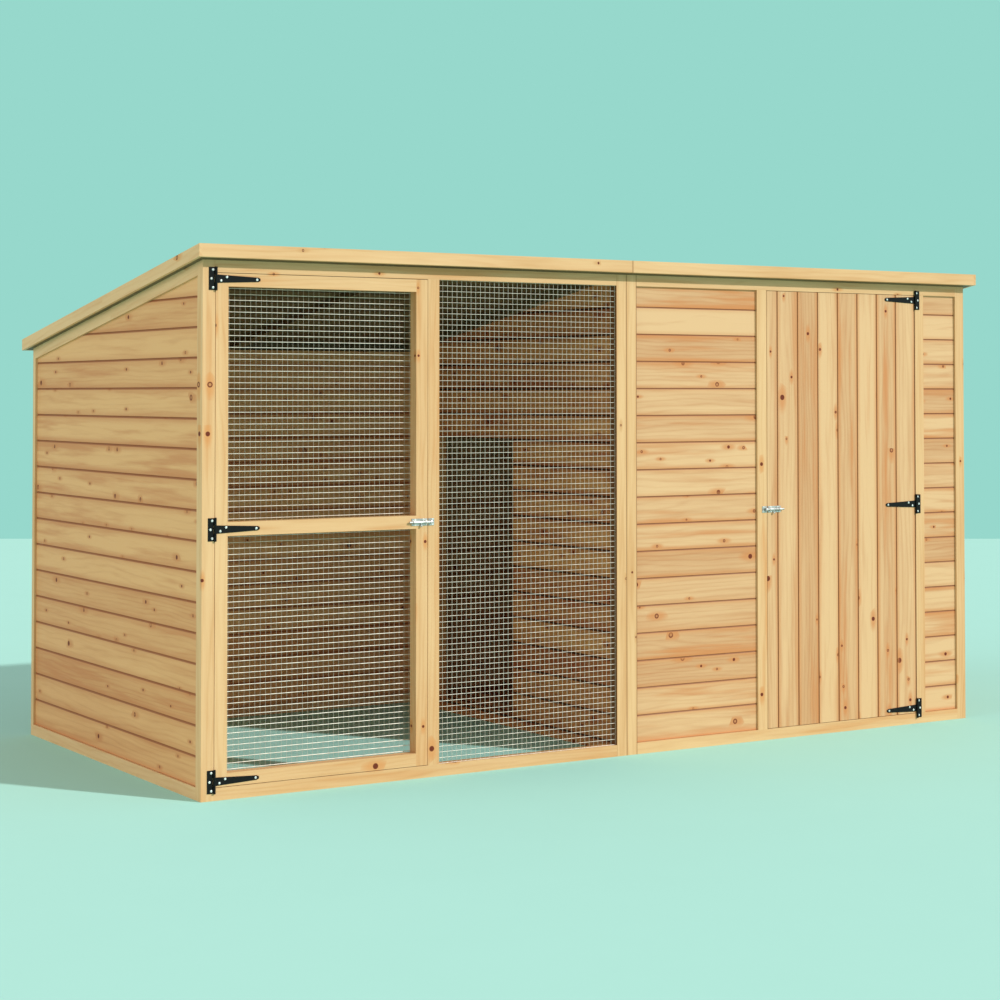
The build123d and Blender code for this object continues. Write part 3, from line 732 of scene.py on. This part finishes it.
class Finishes:
    """Every material of the kennel, with the sizes that its boards follow."""

    board_cover = 106.7 * MILLIMETRE
    sill = 44.0 * MILLIMETRE
    upright_cover = 108.0 * MILLIMETRE
    post_width = 48.0 * MILLIMETRE
    front_run = 1.0
    back_run = 1.8
    fascia_run = 2.0
    boards_before_door = 20
    roof_fall = 0.162

    def __init__(self) -> None:
        """Builds the materials."""
        front = WoodFinish("front_pine")
        walls = WoodFinish(
            "wall_pine", light=tone(232, 176, 118), dark=tone(209, 144, 90), streak=tone(207, 134, 82),
            joint=tone(150, 76, 32), knots=0.15, joint_width=7.0 * MILLIMETRE,
        )
        inside = WoodFinish(
            "inside_pine", light=tone(233, 168, 106), dark=tone(184, 108, 64), streak=tone(180, 94, 56),
            joint=tone(44, 18, 8), knots=0.2, contrast=1.1, joint_width=6.5 * MILLIMETRE,
        )
        sawn = WoodFinish(
            "frame_pine", light=tone(230, 188, 137), dark=tone(210, 158, 104), streak=tone(216, 146, 84),
            knots=0.07, contrast=0.35,
        )
        joined = replace(
            sawn, name="joined_pine", streak=sawn.dark, joint=tone(104, 60, 28),
            joint_width=2.0 * MILLIMETRE,
        )
        # Boards, rafters and battens under the roof are seen only from below, in its shade: these dark
        # colours are painted shade over the pine's own tone.
        roof = WoodFinish(
            "shaded_roof_pine", light=tone(112, 96, 64), dark=tone(82, 68, 42), streak=tone(72, 52, 32),
            joint=tone(40, 28, 18),
        )
        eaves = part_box("run_roof_boards")[0][1]
        door_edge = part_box("kennel_door_boards")[1][0]
        door_start = door_edge - self.boards_before_door * self.upright_cover
        floor_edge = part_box("floor_boards")[0][0]
        level = Courses(Axis.Z, self.sill, self.board_cover)
        self.front_boards = front.material(Axis.X, replace(level, module=self.front_run))
        self.back_boards = walls.material(Axis.X, replace(level, module=self.back_run))
        self.end_boards = walls.material(Axis.Y, level)
        self.partition_boards = inside.material(Axis.Y, level)
        self.door_boards = front.material(Axis.Z, Courses(Axis.X, door_start, self.upright_cover))
        self.floor_boards = inside.material(Axis.Y, Courses(Axis.X, floor_edge, self.upright_cover))
        self.roof_boards = roof.material(Axis.X, Courses(Axis.Y, eaves, self.upright_cover))
        self.frames = {axis: sawn.material(axis) for axis in Axis}
        self.studs = {axis: inside.material(axis) for axis in Axis}
        self.joined_posts = joined.material(Axis.Z, Courses(Axis.X, 0.0, self.post_width))
        self.fascias = joined.material(Axis.X, Courses(Axis.X, 0.0, self.fascia_run))
        self.sloping_frame = sawn.material(Axis.Y, fall=self.roof_fall)
        self.rafters = roof.material(Axis.Y, fall=self.roof_fall)
        self.battens = roof.material(Axis.X)
        self.mesh_wire, self.bright_zinc, self.bolt_zinc, self.black_coat = (
            finish.material()
            for finish in (
                MetalFinish("mesh_zinc", tone(230, 220, 204), tone(198, 188, 174), 0.25, 0.45, 600.0),
                MetalFinish("bright_zinc", tone(238, 236, 232), tone(198, 196, 192), 0.45, 0.34, 900.0),
                MetalFinish("bolt_zinc", tone(214, 209, 206), tone(146, 142, 140), 0.5, 0.33, 700.0),
                MetalFinish("black_coat", tone(8, 8, 8), tone(18, 18, 18), 0.0, 0.7, 1400.0, 0.2),
            )
        )
        self.felt = FeltFinish().material()


@dataclass
class CarriedPieces:
    """The timber, hinges and bolts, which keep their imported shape."""

    finishes: Finishes

    def dress(self) -> None:
        """Gives each of them its finish, wood with the grain along the piece."""
        paint = self.finishes
        frames, studs = paint.frames, paint.studs
        coats = {
            frames[Axis.Z]: (
                "run_left_post", "run_mullion", "run_door_hinge_stile", "run_door_lock_stile",
                "kennel_left_jamb", "kennel_right_jamb", "kennel_right_post", "back_posts",
            ),
            frames[Axis.X]: (
                "run_header", "run_sill", "run_door_top_rail", "run_door_middle_rail",
                "run_door_bottom_rail", "kennel_header", "kennel_sill", "back_rails",
            ),
            frames[Axis.Y]: ("left_end_bottom_rail", "right_end_bottom_rail"),
            paint.joined_posts: ("run_right_post", "kennel_left_post"),
            paint.fascias: ("roof_fascias",),
            paint.sloping_frame: ("left_end_top_rail", "right_end_top_rail", "roof_barge_boards"),
            paint.rafters: ("roof_rafters",),
            paint.battens: ("roof_eaves_battens",),
            studs[Axis.Z]: ("end_wall_studs", "partition_studs", "kennel_door_braces"),
            studs[Axis.X]: ("floor_bearers", "kennel_door_ledges"),
            studs[Axis.Y]: ("partition_rails",),
            paint.front_boards: ("kennel_wide_cladding", "kennel_narrow_cladding"),
            paint.back_boards: ("back_cladding",),
            paint.end_boards: ("left_end_cladding", "right_end_cladding"),
            paint.partition_boards: (
                "partition_front_boards", "partition_back_boards", "partition_top_boards",
                "partition_foot_board",
            ),
            paint.door_boards: ("kennel_door_boards",),
            paint.floor_boards: ("floor_boards",),
            paint.roof_boards: ("run_roof_boards", "kennel_roof_boards"),
            paint.black_coat: (
                "hinge_crossplates", "run_hinge_straps", "kennel_hinge_straps", "hinge_pins",
            ),
            paint.bolt_zinc: (
                "run_bolt_plate", "kennel_bolt_plate", "run_bolt_shaft", "kennel_bolt_shaft", "bolt_keeps",
            ),
        }
        for material, nodes in coats.items():
            for node in nodes:
                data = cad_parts[node].data
                data.materials.clear()
                data.materials.append(material)
                log.info("dressed %s in %s", node, material.name)


@dataclass
class WeldedMesh:
    """A sheet of welded mesh: level wires in front of upright ones.

    Attributes:
        node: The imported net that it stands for.
        body: The body that it rides on.
        upright: Radius of an upright wire.
        level: Radius of a level wire.
        pitch: Distance between wires.
        sides: Sides of a wire's section.
        bite: Distance of a layer from the sheet's middle, over the other layer's radius.
    """

    node: str
    body: str
    upright: float = 0.65 * MILLIMETRE
    level: float = 0.85 * MILLIMETRE
    pitch: float = 20.7 * MILLIMETRE
    sides: int = 6
    bite: float = 0.8

    def build(self, material: bpy.types.Material) -> bpy.types.Object:
        """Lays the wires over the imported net's box.

        Args:
            material: The wires' finish.

        Returns:
            The sheet.
        """
        low, high = (Vector(corner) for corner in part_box(self.node))
        mesh = bmesh.new()
        middle = (low.y + high.y) / 2
        self.wires(mesh, Axis.Z, low, high, middle + self.level * self.bite)
        self.wires(mesh, Axis.X, low, high, middle - self.upright * self.bite)
        piece = settle(mesh, f"{self.node}_wires", self.body, material)
        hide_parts(self.node)
        return piece

    def wires(self, mesh: bmesh.types.BMesh, axis: Axis, low: Vector, high: Vector, depth: float) -> None:
        """Adds the wires that run along one axis.

        Args:
            mesh: The sheet in the making.
            axis: Direction of the wires, X or Z.
            low: Lowest corner of the sheet.
            high: Highest corner of the sheet.
            depth: Where their middles lie along Y.
        """
        step_axis, radius = (Axis.X, self.upright) if axis is Axis.Z else (Axis.Z, self.level)
        span = high[step_axis.value] - low[step_axis.value] - 2 * radius
        count = round(span / self.pitch)
        turn = Matrix.Identity(4) if axis is Axis.Z else Matrix.Rotation(math.pi / 2, 4, "Y")
        middle = (low + high) / 2
        middle[step_axis.value] = low[step_axis.value] + radius
        middle.y = depth
        wire = bmesh.ops.create_cone(
            mesh, cap_ends=True, segments=self.sides, radius1=radius, radius2=radius,
            depth=high[axis.value] - low[axis.value], matrix=Matrix.Translation(middle) @ turn,
        )["verts"]
        step = Vector((0, 0, 0))
        step[step_axis.value] = span / count
        repeat(mesh, wire, [step * i for i in range(1, count + 1)])


@dataclass
class ScrewHeads:
    """Domed screws with a socket in the head.

    Attributes:
        node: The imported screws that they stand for.
        body: The body that they ride on.
        dome: Height of the head.
        spread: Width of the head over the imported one.
        sides: Sides of the head's outline.
        crown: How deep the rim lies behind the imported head's face, over the dome's height.
        rings: Width of each ring over the head's radius, and its rise over the dome's height.
        shank: Radius of the shank over that of the head.
        shank_sides: Sides of the shank.
    """

    node: str
    body: str
    dome: float = 1.9 * MILLIMETRE
    spread: float = 1.15
    sides: int = 16
    crown: float = 0.84
    rings: tuple[tuple[float, float], ...] = ((0.16, 0.5), (0.2, 0.3), (0.26, 0.04), (0.05, -0.45))
    shank: float = 0.45
    shank_sides: int = 8

    def build(self, material: bpy.types.Material) -> bpy.types.Object:
        """Makes a screw at the place of each packed one.

        Args:
            material: The screws' finish.

        Returns:
            The screws, as one piece.
        """
        boxes = solids_of(self.node)
        mesh = bmesh.new()
        low, high = boxes[0]
        first = Vector(((low.x + high.x) / 2, low.y, (low.z + high.z) / 2))
        head_radius = (high.x - low.x) / 2 * self.spread
        source = self.one_screw(mesh, first, head_radius, high.y)
        shifts = [Vector(((a.x + b.x) / 2, a.y, (a.z + b.z) / 2)) - first for a, b in boxes[1:]]
        repeat(mesh, source, shifts)
        piece = settle(mesh, f"{self.node}_domed", self.body, material)
        for polygon in piece.data.polygons:
            polygon.use_smooth = len(polygon.vertices) == 4
        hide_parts(self.node)
        return piece

    def one_screw(
        self, mesh: bmesh.types.BMesh, face: Vector, radius: float, end: float
    ) -> list[bmesh.types.BMVert]:
        """Shapes one screw that looks to the front.

        Args:
            mesh: The mesh in the making.
            face: Middle of the head's outer face.
            radius: Radius of the head.
            end: How deep its shank reaches along Y.

        Returns:
            The screw's vertices.
        """
        seat = face.y + self.dome * self.crown
        forward = Matrix.Rotation(math.pi / 2, 4, "X")
        rim = bmesh.ops.create_circle(
            mesh, cap_ends=True, segments=self.sides, radius=radius,
            matrix=Matrix.Translation(Vector((face.x, seat, face.z))) @ forward,
        )["verts"]
        lid = rim[0].link_faces[0]
        for width, rise in self.rings:
            inset = radius * width
            bmesh.ops.inset_region(mesh, faces=[lid], thickness=inset, depth=0.0, use_boundary=True)
            bmesh.ops.translate(mesh, verts=lid.verts, vec=Vector((0, -self.dome * rise, 0)))
        shank_radius = radius * self.shank
        middle = Matrix.Translation(Vector((face.x, (seat + end) / 2, face.z)))
        bmesh.ops.create_cone(
            mesh, cap_ends=True, segments=self.shank_sides, radius1=shank_radius, radius2=shank_radius,
            depth=end - seat, matrix=middle @ forward,
        )
        return list(mesh.verts)


@dataclass
class FeltRoof:
    """Roofing felt in lapped strips, with nails along its edges.

    Attributes:
        strips: Number of strips from the front to the back.
        lap: How far a strip lies over the next one below it.
        thickness: Thickness of a strip.
        strip_lift: How much higher a strip lies than the next one.
        ripple: How far the felt rises and falls.
        columns: Faces along a strip.
        rows: Faces across a strip.
        nail_pitch: Distance between nails.
        nail_inset: Distance of the outer nails from the felt's edges.
        nail_row: Place of a row of nails across the lap, as a share of it.
        nail_radius: Radius of a nail's head.
        nail_height: Height of a nail's head.
        nail_lift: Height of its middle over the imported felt.
        nail_sides: Sides of its outline.
    """

    strips: int = 3
    lap: float = 75.0 * MILLIMETRE
    thickness: float = 2.0 * MILLIMETRE
    strip_lift: float = 1.2 * MILLIMETRE
    ripple: float = 0.5 * MILLIMETRE
    columns: int = 48
    rows: int = 10
    nail_pitch: float = 100.0 * MILLIMETRE
    nail_inset: float = 12.0 * MILLIMETRE
    nail_row: float = 0.7
    nail_radius: float = 4.5 * MILLIMETRE
    nail_height: float = 1.4 * MILLIMETRE
    nail_lift: float = 2.8 * MILLIMETRE
    nail_sides: int = 10

    def build(self, felt: bpy.types.Material, zinc: bpy.types.Material) -> None:
        """Lays the felt and drives the nails.

        Args:
            felt: Finish of the felt.
            zinc: Finish of the nails.
        """
        low, high = (Vector(corner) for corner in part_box("roof_felt"))
        fall = (high.z - low.z - self.thickness) / (high.y - low.y)
        mesh = bmesh.new()
        share = (high.y - low.y) / self.strips
        for i in range(self.strips):
            start = low.y + i * share
            end = min(start + share + self.lap, high.y)
            self.strip(mesh, low, high, start, end, fall, i)
        piece = settle(mesh, "roof_felt_strips", "kennel", felt)
        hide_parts("roof_felt")
        self.nails(low, high, fall, zinc)

    def strip(
        self, mesh: bmesh.types.BMesh, low: Vector, high: Vector, start: float, end: float, fall: float,
        rank: int,
    ) -> None:
        """Adds one strip, whose back edge laps over the next one.

        Args:
            mesh: The felt in the making.
            low: Lowest corner of the felt.
            high: Highest corner of the felt.
            start: Where the strip begins along Y.
            end: Where it ends along Y.
            fall: Drop of the roof per metre towards the back.
            rank: The strip's place from the front.
        """
        top = high.z + (self.strips - 1 - rank) * self.strip_lift
        grid = bmesh.ops.create_grid(mesh, x_segments=self.columns, y_segments=self.rows, size=0.5)["verts"]
        for vertex in grid:
            x = low.x + (vertex.co.x + 0.5) * (high.x - low.x)
            y = start + (vertex.co.y + 0.5) * (end - start)
            wave = math.sin(x * 9.0 + rank) * math.sin(y * 14.0 + rank * 2.0)
            vertex.co = Vector((x, y, top - (y - low.y) * fall + self.ripple * wave))
        laid = set(grid)
        faces = [face for face in mesh.faces if face.verts[0] in laid]
        lower = bmesh.ops.extrude_face_region(mesh, geom=faces)["geom"]
        bottom = [item for item in lower if isinstance(item, bmesh.types.BMVert)]
        bmesh.ops.translate(mesh, verts=bottom, vec=Vector((0, 0, -self.thickness)))

    def nails(self, low: Vector, high: Vector, fall: float, zinc: bpy.types.Material) -> None:
        """Drives the nails along the four edges and the laps.

        Args:
            low: Lowest corner of the felt.
            high: Highest corner of the felt.
            fall: Drop of the roof per metre towards the back.
            zinc: Finish of the nails.
        """
        left, right = low.x + self.nail_inset, high.x - self.nail_inset
        front, back = low.y + self.nail_inset, high.y - self.nail_inset
        share = (high.y - low.y) / self.strips
        laps = [low.y + i * share + self.lap * self.nail_row for i in range(1, self.strips)]
        across = round((right - left) / self.nail_pitch)
        down = round((back - front) / self.nail_pitch)
        step_x, step_y = (right - left) / across, (back - front) / down
        places = [(left + i * step_x, row) for row in (front, back, *laps) for i in range(across + 1)]
        places += [(x, front + i * step_y) for x in (left, right) for i in range(1, down)]
        spots = [Vector((x, y, high.z - (y - low.y) * fall + self.nail_lift)) for x, y in places]
        mesh = bmesh.new()
        nail = bmesh.ops.create_cone(
            mesh, cap_ends=True, segments=self.nail_sides, radius1=self.nail_radius,
            radius2=self.nail_radius * 0.8, depth=self.nail_height,
            matrix=Matrix.Translation(spots[0]) @ Matrix.Rotation(-math.atan(fall), 4, "X"),
        )["verts"]
        repeat(mesh, nail, [spot - spots[0] for spot in spots[1:]])
        settle(mesh, "felt_nails", "kennel", zinc)


@dataclass(frozen=True)
class Lamp:
    """A lamp so far away that its rays are parallel.

    Attributes:
        name: The lamp's name.
        turned: Where it stands, in degrees from -Y towards +X.
        height: How high it stands, in degrees.
        power: Its strength.
        spread: Width of its disc, in degrees.
        distance: How far away it is drawn.
    """

    name: str
    turned: float
    height: float
    power: float
    spread: float
    distance: float = 6.0

    def hang(self) -> None:
        """Puts the lamp into the scene."""
        data = bpy.data.lights.new(self.name, "SUN")
        data.energy = self.power
        data.angle = math.radians(self.spread)
        lamp = bpy.data.objects.new(self.name, data)
        around, up = math.radians(self.turned), math.radians(self.height)
        lamp.location = Vector((math.sin(around), -math.cos(around), math.tan(up))) * self.distance
        lamp.rotation_euler = (-lamp.location).to_track_quat("-Z", "Y").to_euler()
        bpy.context.scene.collection.objects.link(lamp)


@dataclass
class Studio:
    """Floor, backdrop, lamps and camera.

    Attributes:
        sensor: Width of the camera's picture, in millimetres.
        focal: Focal length in picture widths.
        eye: Where the camera stands.
        heading: How far the camera is turned from +Y towards +X, in degrees.
        tilt: How far it looks up, in degrees.
        shift: Shift of the picture, in picture widths.
        floor_edge: Distance from the camera to the floor's far edge.
        floor_size: Width of the floor.
        floor_light: Colour of the floor.
        floor_dark: Colour of its patches.
        room: Colour of the soft light.
        room_strength: Strength of that light.
        wall: Colour of the backdrop.
        key: The lamp at the front right.
        fill: The soft lamp at the left.
    """

    sensor: float = 36.0
    focal: float = 2.113
    eye: tuple[float, float, float] = (-4.7975, -7.6251, 1.4082)
    heading: float = 31.887
    tilt: float = 1.643
    shift: tuple[float, float] = (0.001, -0.1667)
    floor_edge: float = 20.6
    floor_size: float = 60.0
    floor_light: Colour = tone(176, 229, 217)
    floor_dark: Colour = tone(172, 225, 212)
    room: Colour = (1.0, 0.97, 0.94)
    room_strength: float = 0.53
    wall: Colour = tone(151, 216, 204)
    key: Lamp = Lamp("key_light", 33.4, 32.0, 2.7, 2.0)
    fill: Lamp = Lamp("fill_light", -97.0, 16.0, 1.0, 50.0)

    def build(self) -> None:
        """Sets the stage."""
        self.camera()
        self.floor()
        self.backdrop()
        self.key.hang()
        self.fill.hang()
        bpy.context.scene.view_settings.view_transform = "Standard"

    def camera(self) -> None:
        """Places the camera."""
        data = bpy.data.cameras.new("camera")
        data.sensor_fit = "HORIZONTAL"
        data.sensor_width = self.sensor
        data.lens = self.sensor * self.focal
        data.shift_x, data.shift_y = self.shift
        camera = bpy.data.objects.new("camera", data)
        camera.location = self.eye
        camera.rotation_euler = (math.radians(90 + self.tilt), 0, -math.radians(self.heading))
        bpy.context.scene.collection.objects.link(camera)
        bpy.context.scene.camera = camera

    def floor(self) -> None:
        """Lays a pale floor whose far edge makes the line behind the kennel."""
        heading = math.radians(self.heading)
        ahead = Vector((math.sin(heading), math.cos(heading), 0))
        middle = Vector((self.eye[0], self.eye[1], 0)) + ahead * (self.floor_edge - self.floor_size / 2)
        turn = Matrix.Translation(middle) @ Matrix.Rotation(-heading, 4, "Z")
        mesh = bmesh.new()
        bmesh.ops.create_grid(mesh, x_segments=2, y_segments=2, size=self.floor_size / 2, matrix=turn)
        data = bpy.data.meshes.new("floor")
        mesh.to_mesh(data)
        mesh.free()
        shader = Shader("floor_paint")
        speckle = shader.noise(shader.place, 3.0, 4.0)
        colour = shader.mix((speckle - 0.4) * 0.5, self.floor_light, self.floor_dark)
        data.materials.append(shader.finish(colour, 0.9, Specular_IOR_Level=0.0))
        floor = bpy.data.objects.new("floor", data)
        bpy.context.scene.collection.objects.link(floor)

    def backdrop(self) -> None:
        """Gives the backdrop its colour, also in reflections, and the room its soft light."""
        world = bpy.data.worlds.new("studio")
        bpy.context.scene.world = world
        graph = Graph(world)
        path = graph.node("ShaderNodeLightPath", {}, {})
        camera, glossy, clear = (
            Signal(graph, path.outputs[f"Is {ray} Ray"]) for ray in ("Camera", "Glossy", "Transmission")
        )
        shown = camera.maximum(glossy).maximum(clear)
        room = graph.node("ShaderNodeBackground", {}, {0: self.room, 1: self.room_strength})
        wall = graph.node("ShaderNodeBackground", {}, {0: self.wall, 1: 1.0})
        mixed = graph.node("ShaderNodeMixShader", {}, {0: shown, 1: room.outputs[0], 2: wall.outputs[0]})
        graph.node("ShaderNodeOutputWorld", {}, {0: mixed.outputs[0]})


def main() -> None:
    """Builds and dresses the kennel, then sets the stage."""
    logging.basicConfig(level=logging.INFO, format="%(name)s: %(message)s")
    finishes = Finishes()
    CarriedPieces(finishes).dress()
    for sheet in (
        WeldedMesh("run_fixed_mesh", "kennel"),
        WeldedMesh("run_door_mesh", "run_door", upright=0.4 * MILLIMETRE, level=1.3 * MILLIMETRE),
    ):
        sheet.build(finishes.mesh_wire)
    for screws in (
        ScrewHeads("frame_screws", "kennel"),
        ScrewHeads("run_door_screws", "run_door"),
        ScrewHeads("kennel_door_screws", "kennel_door"),
    ):
        screws.build(finishes.bright_zinc)
    FeltRoof().build(finishes.felt, finishes.bright_zinc)
    Studio().build()


if __name__ == "__main__":
    main()
